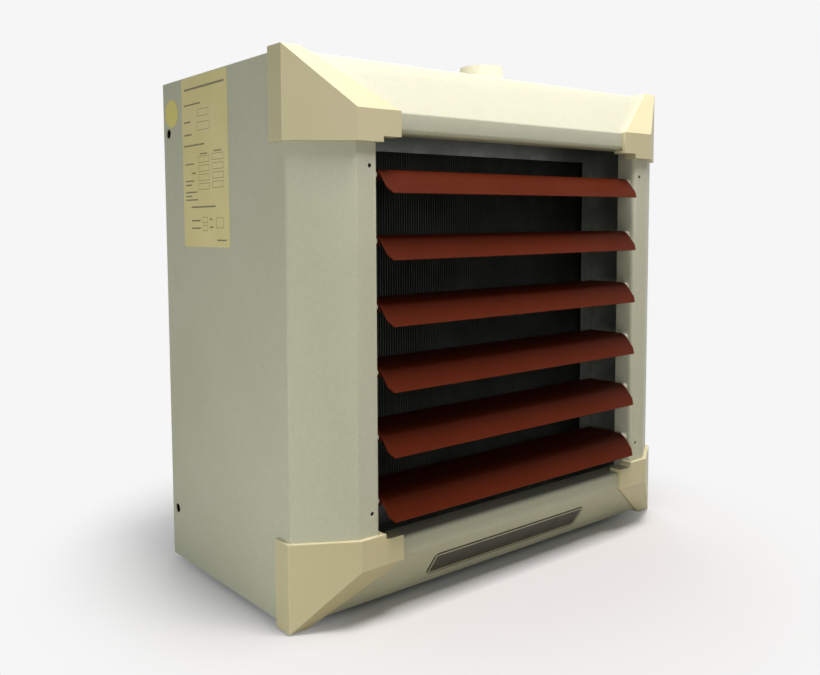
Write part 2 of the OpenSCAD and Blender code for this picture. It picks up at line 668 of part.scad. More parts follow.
module fan_rivets() color(steel) placed() on_fan_axis(fan_y) at_rivets() {
  rod_z(-spider_t / 2 - rivet_head_t, spider_t / 2 + hub_flange_t + rivet_head_t, rivet_r);
  rod_z(-spider_t / 2 - rivet_head_t, -spider_t / 2, rivet_head_r);
  rod_z(spider_t / 2 + hub_flange_t, spider_t / 2 + hub_flange_t + rivet_head_t, rivet_head_r);
}
set_screw_r = 2.5;
set_screw_z = 15;
set_screw_key = 2.5;
module hub_set_screw() color(dark_steel) placed() on_fan_axis(fan_y + set_screw_z) difference() {
  rod_x(shaft_r + seat_gap, barrel_r - cut, set_screw_r);
  translate([barrel_r / 2 + shaft_r / 2, 0, 0]) rotate([0, 90, 0]) hex_prism(set_screw_key, barrel_r);
}

// Motor, on a plate that the guard's spokes carry
guard_y = cabinet_d + guard_stand;
plate_t = 2.5;
plate_margin = 12;
plate_r = motor_r + plate_margin;
plate_hole_r = 26;
motor_y = guard_y + plate_t;
shell_y0 = motor_y + bell_d;
shell_y1 = shell_y0 + motor_l;
motor_end_y = shell_y1 + bell_d;
shell_t = 1.5;
bell_wall = 4;
bearing_r = 16;
bearing_w = 9;
bearing_boss_r = 21;
bolt_r = 2.5;
bolt_inset = 10;
bolt_circle_r = motor_r - bolt_inset;
bolt_head_across = 8;
bolt_head_h = 4;
air_gap = 0.6;
rotor_r = 32;
core_end_gap = 12;
winding_gap = 2;
winding_shares = [0.3, 0.7];
shaft_clear = 1;
rotor_end_gap = 13;
vent_w = 7;
vent_count = 12;
vent_in_r = 27;
vent_out_r = 46;
module at_bolts() for (a = [0:90:270]) rotate([0, 0, a]) translate([bolt_circle_r, 0, 0]) children();
module motor_shell() color(motor_paint) placed() on_fan_axis(shell_y0) difference() {
  rod_z(0, motor_l, motor_r);
  rod_z(-cut, motor_l + cut, motor_r - shell_t);
}
module motor_stator() color("#8a6a3a") placed() on_fan_axis(shell_y0) difference() {
  rod_z(core_end_gap, motor_l - core_end_gap, motor_r - shell_t - seat_gap);
  rod_z(0, motor_l, rotor_r + air_gap);
  at_bolts() rod_z(0, motor_l, bolt_r + seat_gap);
}
module motor_rotor() color(steel) placed() on_fan_axis(shell_y0) difference() {
  rod_z(rotor_end_gap, motor_l - rotor_end_gap, rotor_r);
  rod_z(0, motor_l, shaft_r + seat_gap);
}
module motor_windings() color("#b5763f") placed() for (y = [shell_y0 + winding_gap, shell_y1 - core_end_gap])
  on_fan_axis(y) difference() {
    rod_z(0, core_end_gap - winding_gap, rotor_r + (bolt_circle_r - rotor_r) * winding_shares[1]);
    rod_z(-cut, core_end_gap, rotor_r + (bolt_circle_r - rotor_r) * winding_shares[0]);
  }
// An end bell, drawn with its outer face at z = 0 and its open side up
module bell() difference() {
  union() {
    difference() {
      rod_z(0, bell_d, motor_r);
      rod_z(bell_wall, bell_d + cut, motor_r - bell_wall);
    }
    rod_z(0, bell_wall + bearing_w, bearing_boss_r);
  }
  rod_z(bell_wall, bell_d, bearing_r + seat_gap);
  at_bolts() rod_z(-cut, bell_d, bolt_r + seat_gap);
}
module motor_front_bell() color(motor_paint) placed() on_fan_axis(motor_y) difference() {
  bell();
  rod_z(-cut, bell_d, shaft_r + shaft_clear);
  translate([0, 0, bell_d / 2]) rod_x(motor_r - bell_wall - cut, motor_r + cut, fitting_r + seat_gap);
}
module motor_rear_bell() color(motor_paint) placed()
  on_fan_axis(motor_end_y) mirror([0, 0, 1]) difference() {
  bell();
  for (i = [0:vent_count - 1]) rotate([0, 0, (i + 1 / 2) * 360 / vent_count])
    block([vent_in_r, -vent_w / 2, -cut], [vent_out_r, vent_w / 2, bell_wall + cut]);
}
module bearing() difference() {
  rod_z(0, bearing_w, bearing_r);
  rod_z(-cut, bearing_w + cut, shaft_r + run_gap);
}
module motor_bearings() color(steel) placed() {
  on_fan_axis(motor_y + bell_wall) bearing();
  on_fan_axis(motor_end_y - bell_wall - bearing_w) bearing();
}
module motor_bolts() color(steel) placed() on_fan_axis(0) at_bolts() {
  rod_z(guard_y - bolt_head_h, motor_end_y, bolt_r);
  translate([0, 0, guard_y - bolt_head_h]) hex_prism(bolt_head_across, bolt_head_h);
  translate([0, 0, motor_end_y]) hex_prism(bolt_head_across, bolt_head_h);
}
module motor_shaft() color(steel) placed() on_fan_axis(0)
  rod_z(fan_y - barrel_front - rest_gap, motor_end_y - bell_wall - rest_gap, shaft_r);
module motor_mount_plate() color(dark_steel) placed() on_fan_axis(guard_y) difference() {
  rod_z(0, plate_t, plate_r);
  rod_z(-cut, plate_t + cut, plate_hole_r);
  at_bolts() rod_z(-cut, plate_t + cut, bolt_r + seat_gap);
}

// Guard: bent flat spokes with wire rings on their inner side
spoke_count = 8;
spoke_w = 10;
spoke_t = 2;
spoke_bend_r = 5;
spoke_lap = 12;
spoke_inner_r = plate_r - spoke_lap;
spoke_lean = 8;
foot_l = 18;
foot_end = 7;
guard_r = flare_mid_r + guard_margin;
foot_r = guard_r + foot_l - foot_end;
ring_plate_gap = 6;
ring_first_r = plate_r + ring_plate_gap;
ring_count = floor((guard_r - spoke_lean - spoke_bend_r - ring_first_r) / ring_pitch) + 1;
spoke_turns = [for (i = [0:spoke_count - 1]) (i + 1 / 2) * 360 / spoke_count];
module at_guard_feet() translate([0, 0, mid_z]) for (turn = spoke_turns)
  rotate([0, turn, 0]) translate([foot_r, 0, 0]) children();
module guard_spokes() color(dark_steel) placed() on_fan_axis(0) for (turn = spoke_turns) rotate([0, 0, turn])
  difference() {
    translate([0, spoke_w / 2, 0]) rotate([90, 0, 0]) linear_extrude(spoke_w) polygon(sheet_outline([
      [spoke_inner_r, guard_y - spoke_t], [guard_r - spoke_lean, guard_y - spoke_t],
      [guard_r, rear_face_y], [guard_r + foot_l, rear_face_y]], spoke_bend_r, spoke_t));
    translate([foot_r, 0, 0]) rod_z(rear_face_y - cut, guard_y, screw_hole_r);
  }
module guard_rings() color(dark_steel) placed() on_fan_axis(guard_y - spoke_t - wire_r)
  for (i = [0:ring_count - 1]) rotate_extrude($fn = ring_faces)
    translate([ring_first_r + i * ring_pitch, 0]) circle(r = wire_r, $fn = wire_faces);
module guard_screws() color(steel) placed() at_guard_feet() translate([0, rear_face_y + spoke_t, 0])
  rotate([-90, 0, 0]) hex_screw();

// Junction box on the rear panel, with the conduit to the motor
box_t = 1.5;
box_side_gap = 11;
box_x1 = half_w - rear_flange_w - box_side_gap;
box_x0 = box_x1 - box_w;
box_z0 = 20;
box_z1 = box_z0 + box_w;
plug_r = 11;
plug_t = 1;
box_screw_inset = 20;
cover_screw_inset = 6;
cover_ear = 12;
fitting_wall = 1.5;
fitting_r = lead_r + fitting_wall;
lead_y = motor_y + bell_d / 2;
box_y1 = lead_y + fitting_r + box_room;
box_d = box_y1 - rear_face_y;
lead_x = box_x1 - box_w / 2;
lead_bend_r = 32;
lead_tuck = 3;
fitting_l = 14;
fitting_flange_r = fitting_r + fitting_wall;
fitting_flange_t = 2.5;
module at_box_screws() for (x = [box_x0 + box_screw_inset, box_x1 - box_screw_inset])
  translate([x, 0, box_z0 + box_w / 2]) children();
module at_cover_screws() for (p = [[box_x0 + cover_screw_inset, box_z0 + cover_screw_inset],
  [box_x1 - cover_screw_inset, box_z1 - cover_screw_inset]]) translate([p.x, 0, p.y]) children();
module junction_box() color(steel) placed() difference() {
  union() {
    difference() {
      block([box_x0, rear_face_y, box_z0], [box_x1, box_y1, box_z1]);
      block([box_x0 + box_t, rear_face_y + box_t, box_z0 + box_t],
            [box_x1 - box_t, box_y1 + cut, box_z1 - box_t]);
    }
    block([box_x0, box_y1 - box_t, box_z0], [box_x0 + cover_ear, box_y1, box_z0 + cover_ear]);
    block([box_x1 - cover_ear, box_y1 - box_t, box_z1 - cover_ear], [box_x1, box_y1, box_z1]);
  }
  at_box_screws() rod_y(rear_face_y - cut, rear_face_y + box_t + cut, screw_hole_r);
  at_cover_screws() rod_y(box_y1 - box_t - cut, box_y1 + cut, screw_hole_r);
  translate([lead_x, lead_y, 0]) rod_z(box_z1 - box_t - cut, box_z1 + cut, fitting_r + seat_gap);
  at_plugs() rod_z(-cut, box_t + cut, plug_r + seat_gap);
}
module at_plugs() {
  translate([box_x0 + box_w / 2, rear_face_y + box_d / 2, box_z0]) children();
  translate([box_x1, rear_face_y + box_d / 2, box_z0 + box_w / 2]) rotate([0, -90, 0]) children();
}
module knockout_plugs() color(dark_steel) placed() at_plugs() rod_z(0, plug_t, plug_r);
module junction_cover() color(steel) placed() difference() {
  block([box_x0, box_y1, box_z0], [box_x1, box_y1 + box_t, box_z1]);
  at_cover_screws() rod_y(box_y1 - cut, box_y1 + box_t + cut, screw_hole_r);
}
module junction_screws() color(steel) placed() {
  at_cover_screws() translate([0, box_y1 + box_t, 0]) rotate([-90, 0, 0]) hex_screw();
  at_box_screws() translate([0, rear_face_y + box_t, 0]) rotate([-90, 0, 0]) hex_screw();
}
// The conduit rises from the box, bends, and runs level into the motor's front bell
module motor_lead() color("#8f918c") placed() translate([0, lead_y, 0]) union() {
  translate([lead_x, 0, 0]) rod_z(box_z1 - lead_tuck, mid_z - lead_bend_r, lead_r);
  translate([0, 0, mid_z]) rod_x(motor_r - lead_tuck, lead_x - lead_bend_r, lead_r);
  translate([lead_x - lead_bend_r, 0, mid_z - lead_bend_r]) rotate([90, 0, 0])
    rotate_extrude(angle = 90) translate([lead_bend_r, 0]) circle(r = lead_r);
}
// A conduit connector, drawn about +Z with its flange on the surface at z = 0
module connector() difference() {
  union() {
    rod_z(-box_t - cut, fitting_l, fitting_r);
    rod_z(0, fitting_flange_t, fitting_flange_r);
  }
  rod_z(-far, far, lead_r + seat_gap);
}
module lead_fittings() color(steel) placed() {
  translate([lead_x, lead_y, box_z1]) connector();
  translate([motor_r, lead_y, mid_z]) rotate([0, 90, 0]) connector();
}

// Mounting nuts and screws
nut_across = 17;
nut_h = 8;
module mount_nut(r) difference() {
  hex_prism(nut_across, nut_h);
  rod_z(-cut, nut_h + cut, r);
}
module hanger_nuts() color(dark_steel) placed() at_hangers()
  translate([0, 0, cabinet_h - sheet_t - nut_h]) mount_nut(hanger_r);
module bracket_nuts() color(dark_steel) placed() both_sides() at_bracket_holes()
  translate([half_w - sheet_t - nut_h, 0, 0]) rotate([0, 90, 0]) mount_nut(bracket_r);
module top_screws() color(dark_steel) placed() both_sides() for (y = top_screw_ys)
  translate([top_screw_x, y, cabinet_h]) hex_screw();
module bottom_screws() color(dark_steel) placed() upside_down() both_sides() for (y = bottom_screw_ys)
  translate([top_screw_x, y, cabinet_h]) hex_screw();
module rear_screws() color(dark_steel) placed() both_sides() for (z = rear_screw_rises)
  translate([rear_screw_x, cabinet_d, mid_z + z]) rotate([-90, 0, 0]) hex_screw();

// Blank plates
rating_w = 92;
rating_h = 168;
rating_t = 0.4;
rating_rear_gap = 46;
rating_top_gap = 1;
rating_corner_r = 3;
sticker_r = 14;
sticker_t = 0.3;
sticker_rise = 20;
sticker_inset = 22;
name_w = 228;
name_h = 30;
name_t = 0.8;
name_corner_r = 6;
function plate_loop(w, h, r) = rounded_loop([[0, 0], [w, 0], [w, h], [0, h]], r);
module rating_plate() color("#e3dcae") placed()
  translate([0, cabinet_d - rating_rear_gap - rating_w, cabinet_h - rating_top_gap - rating_h])
    lengthwise(-half_w - rating_t, -half_w) polygon(plate_loop(rating_w, rating_h, rating_corner_r));
module round_sticker() color("#c9c04a") placed()
  translate([0, cabinet_d - sticker_inset, mid_z + bracket_rise / 2 + sticker_rise])
    rod_x(-half_w - sticker_t, -half_w, sticker_r);
module name_plate() color("#3c3a2c") placed()
  translate([-name_w / 2, slant_d / 2, slant_h / 2]) rotate([90 + atan(slant_d / slant_h), 0, 0])
    translate([0, -name_h / 2, 0]) linear_extrude(name_t) polygon(plate_loop(name_w, name_h, name_corner_r));

left_side_panel();
right_side_panel();
top_panel();
bottom_panel();
rear_panel();
corner_cap_top_left();
corner_cap_top_right();
corner_cap_bottom_left();
corner_cap_bottom_right();
louver_1();
louver_2();
louver_3();
louver_4();
louver_5();
louver_6();
louver_pins_1();
louver_pins_2();
louver_pins_3();
louver_pins_4();
louver_pins_5();
louver_pins_6();
louver_bushes();
discharge_collar();
coil_casing();
fin_pack();
coil_tubes();
supply_header();
return_header();
coil_supports();
fan_blades();
fan_hub();
fan_rivets();
hub_set_screw();
motor_shaft();
motor_rotor();
motor_shell();
motor_stator();
motor_windings();
motor_front_bell();
motor_rear_bell();
motor_bearings();
motor_bolts();
motor_mount_plate();
guard_spokes();
guard_rings();
guard_screws();
junction_box();
junction_cover();
junction_screws();
knockout_plugs();
motor_lead();
lead_fittings();
hanger_nuts();
bracket_nuts();
top_screws();
bottom_screws();
rear_screws();
rating_plate();
round_sticker();
name_plate();
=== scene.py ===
import json
import math

import bmesh
import bpy
import numpy as np
from mathutils import Matrix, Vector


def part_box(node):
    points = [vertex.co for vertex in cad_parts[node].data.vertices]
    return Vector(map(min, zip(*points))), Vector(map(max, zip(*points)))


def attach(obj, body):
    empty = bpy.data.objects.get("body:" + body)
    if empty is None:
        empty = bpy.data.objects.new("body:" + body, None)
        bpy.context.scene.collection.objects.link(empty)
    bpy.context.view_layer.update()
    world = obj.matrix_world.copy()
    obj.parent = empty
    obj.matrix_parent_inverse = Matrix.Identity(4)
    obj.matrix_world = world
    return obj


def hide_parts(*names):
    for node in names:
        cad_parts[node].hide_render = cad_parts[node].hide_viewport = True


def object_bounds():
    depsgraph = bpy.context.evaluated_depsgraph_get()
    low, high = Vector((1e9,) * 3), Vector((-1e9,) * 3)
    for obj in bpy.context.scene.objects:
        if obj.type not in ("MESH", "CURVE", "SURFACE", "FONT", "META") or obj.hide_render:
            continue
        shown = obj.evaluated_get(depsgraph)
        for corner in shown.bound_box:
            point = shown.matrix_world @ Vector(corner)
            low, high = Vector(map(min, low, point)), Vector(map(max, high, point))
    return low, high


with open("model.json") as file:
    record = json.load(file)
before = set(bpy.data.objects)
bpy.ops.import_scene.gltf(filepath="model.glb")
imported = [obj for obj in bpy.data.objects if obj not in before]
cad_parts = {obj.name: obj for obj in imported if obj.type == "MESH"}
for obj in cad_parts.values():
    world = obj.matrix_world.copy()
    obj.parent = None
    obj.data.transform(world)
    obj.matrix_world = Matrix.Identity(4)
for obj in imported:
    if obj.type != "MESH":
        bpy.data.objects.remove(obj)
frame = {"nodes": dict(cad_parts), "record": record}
cadLow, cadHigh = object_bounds()
slotOfNode = {row["node"]: row["material_slot"] for row in frame["record"]["subparts"]}
bodyOfNode = {node: body for body, nodes in frame["record"]["behaviour"]["bodies"].items() for node in nodes}
mm = 0.001
print("frame loaded")

# The camera stands in front of the left side, a little below the top, and looks along the photograph's view
cameraSettings = {
    "place": (-0.6712, -0.7153, -0.1489), "turnDeg": 37.02, "pitchDeg": 4.32, "rollDeg": -0.60,
    "lensMm": 37.685, "shiftX": 0.0854, "shiftY": -0.0579, "nearestM": 0.01,
}


def makeCamera(settings):
    # Forward is +Y turned towards +X and tipped down; the roll turns right and up about it
    turn, pitch, roll = (math.radians(settings[key]) for key in ("turnDeg", "pitchDeg", "rollDeg"))
    forward = np.array([math.sin(turn) * math.cos(pitch), math.cos(turn) * math.cos(pitch), -math.sin(pitch)])
    level = np.array([math.cos(turn), -math.sin(turn), 0.0])
    upright = np.cross(level, forward)
    right = level * math.cos(roll) + upright * math.sin(roll)
    up = upright * math.cos(roll) - level * math.sin(roll)
    data = bpy.data.cameras.new("camera")
    data.lens = settings["lensMm"]
    data.shift_x = settings["shiftX"]
    data.shift_y = settings["shiftY"]
    data.clip_start = settings["nearestM"]
    camera = bpy.data.objects.new("camera", data)
    bpy.context.scene.collection.objects.link(camera)
    rows = [[right[i], up[i], -forward[i], settings["place"][i]] for i in range(3)]
    camera.matrix_world = Matrix(rows + [[0, 0, 0, 1]])
    bpy.context.scene.camera = camera


makeCamera(cameraSettings)


def linear(hexColour):
    # sRGB hex to linear: c / 12.92 below 0.04045, otherwise ((c + 0.055) / 1.055) to the power 2.4
    channels = [int(hexColour[i:i + 2], 16) / 255 for i in (1, 3, 5)]
    return [c / 12.92 if c <= 0.04045 else ((c + 0.055) / 1.055) ** 2.4 for c in channels] + [1.0]


def addNode(tree, kind, settings=None, links=None):
    # Adds one node; a setting is an input's value or a property, and a link joins an output to an input
    node = tree.nodes.new(kind)
    for key, value in (settings or {}).items():
        if isinstance(key, int) or key in node.inputs:
            node.inputs[key].default_value = value
        else:
            setattr(node, key, value)
    for key, output in (links or {}).items():
        tree.links.new(output, node.inputs[key])
    return node


def newMaterial(name, constants):
    # A principled shader with one finish's constants on its own sockets, and Object coordinates for patterns
    material = bpy.data.materials.new(name)
    material.use_nodes = True
    tree = material.node_tree
    shader = tree.nodes["Principled BSDF"]
    for key, value in constants.items():
        shader.inputs[key].default_value = value
    coords = addNode(tree, "ShaderNodeTexCoord").outputs["Object"]
    return material, tree, shader, coords


def blendColours(tree, factor, colourA, colourB):
    # A where the factor is 0 and B where it is 1
    mix = addNode(tree, "ShaderNodeMix", {"data_type": "RGBA"}, {0: factor})
    for index, colour in ((6, colourA), (7, colourB)):
        if isinstance(colour, str):
            mix.inputs[index].default_value = linear(colour)
        else:
            tree.links.new(colour, mix.inputs[index])
    return mix.outputs[2]


# The noise value that gives 0, the one that gives 1, and the number of finer layers
noiseKinds = {
    "mottle": (0.35, 0.65, 4.0), "tone": (0.3, 0.7, 4.0), "speckle": (0.3, 0.7, 6.0),
    "scuff": (0.64, 0.78, 8.0), "patch": (0.35, 0.6, 4.0), "line": (0.3, 0.7, 3.0),
    "peel": (0.0, 1.0, 2.0), "grain": (0.0, 1.0, 3.0),
}


def noisePattern(tree, coords, sizeMm, kind):
    # Noise of one feature size, stretched so that the kind's low value gives 0 and its high value gives 1
    low, high, detail = noiseKinds[kind]
    noise = addNode(tree, "ShaderNodeTexNoise", {"Scale": 1 / (sizeMm * mm), "Detail": detail},
                    {"Vector": coords})
    return addNode(tree, "ShaderNodeMapRange", {"From Min": low, "From Max": high},
                   {"Value": noise.outputs["Fac"]}).outputs["Result"]


# How well the rounded and the true normal agree where an edge starts to be rubbed, and where it is fully so
edgeWear = {"samples": 4, "startsAt": 0.99, "fullAt": 0.85}


def edgePattern(tree, coords, settings):
    # 1 where the normal, rounded over the wear's width, leaves the true one, broken up by patches
    rounded = addNode(tree, "ShaderNodeBevel",
                      {"samples": edgeWear["samples"], "Radius": settings["wearMm"] * mm})
    actual = addNode(tree, "ShaderNodeNewGeometry")
    same = addNode(tree, "ShaderNodeVectorMath", {"operation": "DOT_PRODUCT"},
                   {0: rounded.outputs["Normal"], 1: actual.outputs["Normal"]})
    edge = addNode(tree, "ShaderNodeMapRange",
                   {"From Min": edgeWear["startsAt"], "From Max": edgeWear["fullAt"]},
                   {"Value": same.outputs["Value"]})
    patches = noisePattern(tree, coords, settings["patchMm"], "patch")
    return addNode(tree, "ShaderNodeMath", {"operation": "MULTIPLY"},
                   {0: edge.outputs["Result"], 1: patches}).outputs[0]


def finishSurface(tree, shader, settings, colour, roughFactor, height, depthMm):
    # Links the colour, a roughness between two values by the factor, and a bump of the given depth
    tree.links.new(colour, shader.inputs["Base Color"])
    low, high = settings["roughness"]
    rough = addNode(tree, "ShaderNodeMapRange", {"To Min": low, "To Max": high}, {"Value": roughFactor})
    tree.links.new(rough.outputs["Result"], shader.inputs["Roughness"])
    bump = addNode(tree, "ShaderNodeBump", {"Distance": depthMm * mm}, {"Height": height})
    tree.links.new(bump.outputs["Normal"], shader.inputs["Normal"])


def bakedEnamel(name, settings):
    # Sprayed and baked enamel on sheet steel: a fine orange peel, soft mottling, scuffs and rubbed edges
    material, tree, shader, coords = newMaterial(name, {"IOR": 1.45, "Specular IOR Level": settings["gloss"]})
    mottle = noisePattern(tree, coords, settings["mottleMm"], "mottle")
    fine = noisePattern(tree, coords, settings["fineMm"], "speckle")
    scuff = noisePattern(tree, coords, settings["scuffMm"], "scuff")
    colour = blendColours(tree, mottle, settings["colour"], settings["colourAged"])
    grained = blendColours(tree, fine, settings["colourFine"], colour)
    softened = addNode(tree, "ShaderNodeMix", {"data_type": "RGBA", 0: settings["fineShare"]},
                       {6: colour, 7: grained})
    colour = blendColours(tree, scuff, softened.outputs[2], settings["scuffColour"])
    colour = blendColours(tree, edgePattern(tree, coords, settings), colour, settings["edgeColour"])
    peel = noisePattern(tree, coords, settings["peelMm"], "peel")
    finishSurface(tree, shader, settings, colour, mottle, peel, settings["peelDepthMm"])
    return material


def mouldedPlastic(name, settings):
    # Injection moulded ABS or nylon: even colour, a faint spark-eroded grain, a satin skin and rubbed corners
    material, tree, shader, coords = newMaterial(name, {"IOR": 1.53})
    tone = noisePattern(tree, coords, settings["toneMm"], "tone")
    colour = blendColours(tree, tone, settings["colour"], settings["colourAged"])
    colour = blendColours(tree, edgePattern(tree, coords, settings), colour, settings["edgeColour"])
    grain = noisePattern(tree, coords, settings["grainMm"], "grain")
    finishSurface(tree, shader, settings, colour, tone, grain, settings["grainDepthMm"])
    return material


def printedFilm(name, settings):
    # Paper or polyester film with an adhesive back: an even tone, a faint fibre and almost no relief
    material, tree, shader, coords = newMaterial(name, {"IOR": 1.47})
    tone = noisePattern(tree, coords, settings["toneMm"], "tone")
    colour = blendColours(tree, tone, settings["colour"], settings["colourAged"])
    fibre = noisePattern(tree, coords, settings["fibreMm"], "grain")
    finishSurface(tree, shader, settings, colour, tone, fibre, settings["fibreDepthMm"])
    return material


def galvanisedSteel(name, settings):
    # Hot dip galvanised sheet: dull zinc spangles of a few millimetres, each with its own grey and gloss
    material, tree, shader, coords = newMaterial(name, {"Metallic": 0.8})
    cells = addNode(tree, "ShaderNodeTexVoronoi", {"Scale": 1 / (settings["spangleMm"] * mm)},
                    {"Vector": coords})
    grey = addNode(tree, "ShaderNodeSeparateColor", {}, {"Color": cells.outputs["Color"]}).outputs["Red"]
    bloom = noisePattern(tree, coords, settings["bloomMm"], "tone")
    colour = blendColours(tree, grey, settings["colour"], settings["colourAged"])
    colour = blendColours(tree, bloom, colour, settings["bloomColour"])
    finishSurface(tree, shader, settings, colour, grey, bloom, settings["bloomDepthMm"])
    return material


def drawnMetal(name, settings):
    # Drawn, rolled or turned metal: fine lines along one axis and a slow change of tone
    material, tree, shader, coords = newMaterial(name, {"Metallic": 1.0})
    stretched = addNode(tree, "ShaderNodeMapping", {"Scale": settings["lineStretch"]}, {"Vector": coords})
    lines = noisePattern(tree, stretched.outputs["Vector"], settings["lineMm"], "line")
    tone = noisePattern(tree, coords, settings["toneMm"], "tone")
    colour = blendColours(tree, tone, settings["colour"], settings["colourAged"])
    finishSurface(tree, shader, settings, colour, lines, lines, settings["lineDepthMm"])
    return material


def paintedPipe(name, settings):
    # Drawn copper below the top panel, and enamel sprayed on the stub that stands above it
    material = drawnMetal(name, settings)
    tree = material.node_tree
    shader = tree.nodes["Principled BSDF"]
    coords = tree.nodes["Texture Coordinate"].outputs["Object"]
    height = addNode(tree, "ShaderNodeSeparateXYZ", {}, {"Vector": coords}).outputs["Z"]
    fromZ, toZ = settings["paintFromMm"] * mm, settings["paintToMm"] * mm
    painted = addNode(tree, "ShaderNodeMapRange", {"From Min": fromZ, "From Max": toZ}, {"Value": height})
    bare = shader.inputs["Base Color"].links[0].from_socket
    colour = blendColours(tree, painted.outputs["Result"], bare, settings["paintColour"])
    tree.links.new(colour, shader.inputs["Base Color"])
    metal = addNode(tree, "ShaderNodeMapRange",
                    {"From Min": fromZ, "From Max": toZ, "To Min": 1.0, "To Max": 0.0}, {"Value": height})
    tree.links.new(metal.outputs["Result"], shader.inputs["Metallic"])
    return material


def borderedFilm(name, settings):
    # Dark film with a pale line inside its edge: the distance from the plate's middle along and up its slope,
    # less the half size, is the same all along the line, and the line is pale within its half width of that
    material = printedFilm(name, settings)
    tree = material.node_tree
    shader = tree.nodes["Principled BSDF"]
    coords = tree.nodes["Texture Coordinate"].outputs["Object"]
    low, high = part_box("name_plate")
    middle = [(a + b) / 2 for a, b in zip(low, high)]
    moved = addNode(tree, "ShaderNodeVectorMath", {"operation": "SUBTRACT", 1: middle}, {0: coords})
    beyond = []
    for direction, halfMm in zip(settings["directions"], settings["halfSizesMm"]):
        dot = addNode(tree, "ShaderNodeVectorMath", {"operation": "DOT_PRODUCT", 1: direction},
                      {0: moved.outputs["Vector"]})
        away = addNode(tree, "ShaderNodeMath", {"operation": "ABSOLUTE"}, {0: dot.outputs["Value"]})
        beyond.append(addNode(tree, "ShaderNodeMath", {"operation": "SUBTRACT", 1: halfMm * mm},
                              {0: away.outputs[0]}).outputs[0])
    furthest = addNode(tree, "ShaderNodeMath", {"operation": "MAXIMUM"}, {0: beyond[0], 1: beyond[1]})
    centred = addNode(tree, "ShaderNodeMath", {"operation": "ADD", 1: settings["lineInsetMm"] * mm},
                      {0: furthest.outputs[0]})
    away = addNode(tree, "ShaderNodeMath", {"operation": "ABSOLUTE"}, {0: centred.outputs[0]})
    halfLine = settings["lineWidthMm"] * mm / 2
    line = addNode(tree, "ShaderNodeMapRange",
                   {"From Min": halfLine, "From Max": settings["lineCore"] * halfLine},
                   {"Value": away.outputs[0]})
    film = shader.inputs["Base Color"].links[0].from_socket
    colour = blendColours(tree, line.outputs["Result"], film, settings["lineColour"])
    tree.links.new(colour, shader.inputs["Base Color"])
    return material


# Grey beige enamel on the cabinet's sheet steel; its orange peel is drawn coarser than the real one, to show
cabinetPaint = {
    "colour": "#bdbfae", "colourAged": "#b9bba7", "colourFine": "#a9ab97", "fineShare": 0.35,
    "scuffColour": "#b1b3a0", "edgeColour": "#cdcebf", "mottleMm": 180, "fineMm": 3, "scuffMm": 60,
    "roughness": (0.38, 0.5), "gloss": 0.35, "peelMm": 1.6, "peelDepthMm": 0.02, "wearMm": 1.2, "patchMm": 30,
}
# Dark red enamel on the rolled louvers, with hardly any mirror of the pale room
louverPaint = {
    "colour": "#4b1906", "colourAged": "#461705", "colourFine": "#391104", "fineShare": 0.3,
    "scuffColour": "#401606", "edgeColour": "#5c2d18", "mottleMm": 90, "fineMm": 3, "scuffMm": 30,
    "roughness": (0.42, 0.54), "gloss": 0.05, "peelMm": 1.4, "peelDepthMm": 0.02, "wearMm": 0.8,
    "patchMm": 20,
}
# Thick dark grey enamel on the motor's shell and end bells
motorPaint = {
    "colour": "#2f3234", "colourAged": "#282a2b", "colourFine": "#222425", "fineShare": 0.3,
    "scuffColour": "#43464a", "edgeColour": "#5d6062", "mottleMm": 60, "fineMm": 3, "scuffMm": 18,
    "roughness": (0.4, 0.52), "gloss": 0.4, "peelMm": 1.8, "peelDepthMm": 0.04, "wearMm": 1.0, "patchMm": 12,
}
# Near black powder coat on the guard's wires and the motor's plate
powderCoat = {
    "colour": "#262624", "colourAged": "#1f1f1d", "colourFine": "#2c2c2a", "fineShare": 0.3,
    "scuffColour": "#373632", "edgeColour": "#4a4946", "mottleMm": 50, "fineMm": 2, "scuffMm": 16,
    "roughness": (0.45, 0.58), "gloss": 0.4, "peelMm": 0.9, "peelDepthMm": 0.03, "wearMm": 0.6, "patchMm": 10,
}
# Cream moulded corner caps; the mould's grain is drawn a few times its real size, to show
capPlastic = {
    "colour": "#c3bc9a", "colourAged": "#beb690", "edgeColour": "#d3cdae", "toneMm": 120,
    "roughness": (0.41, 0.51), "grainMm": 0.7, "grainDepthMm": 0.012, "wearMm": 2.0, "patchMm": 25,
}
# Pale nylon bushes of the louvers
nylonPlastic = {
    "colour": "#e6e3d4", "colourAged": "#dcd8c6", "edgeColour": "#efede2", "toneMm": 20,
    "roughness": (0.46, 0.56), "grainMm": 0.6, "grainDepthMm": 0.01, "wearMm": 0.5, "patchMm": 8,
}
# Yellowed paper label, its fibres drawn coarser than the real ones, and the faded ink of its rules
labelFilm = {
    "colour": "#ddd49d", "colourAged": "#d6cc90", "toneMm": 60, "roughness": (0.46, 0.56), "fibreMm": 0.5,
    "fibreDepthMm": 0.004,
}
labelInk = {
    "colour": "#7d7757", "colourAged": "#736c4d", "toneMm": 8, "roughness": (0.5, 0.6), "fibreMm": 0.4,
    "fibreDepthMm": 0.002,
}
# Yellow film of the round sticker, and the dark plate with its pale border line
stickerFilm = {
    "colour": "#dbcf70", "colourAged": "#d1c463", "toneMm": 10, "roughness": (0.41, 0.51), "fibreMm": 0.5,
    "fibreDepthMm": 0.004,
}
plateFilm = {
    "colour": "#3b3829", "colourAged": "#343124", "toneMm": 30, "roughness": (0.36, 0.46), "fibreMm": 0.5,
    "fibreDepthMm": 0.004, "lineColour": "#c9c7a8", "lineInsetMm": 2.4, "lineWidthMm": 1.4, "lineCore": 0.8,
    "halfSizesMm": (114, 15), "directions": ((1, 0, 0), (0, -0.527, 0.85)),
}
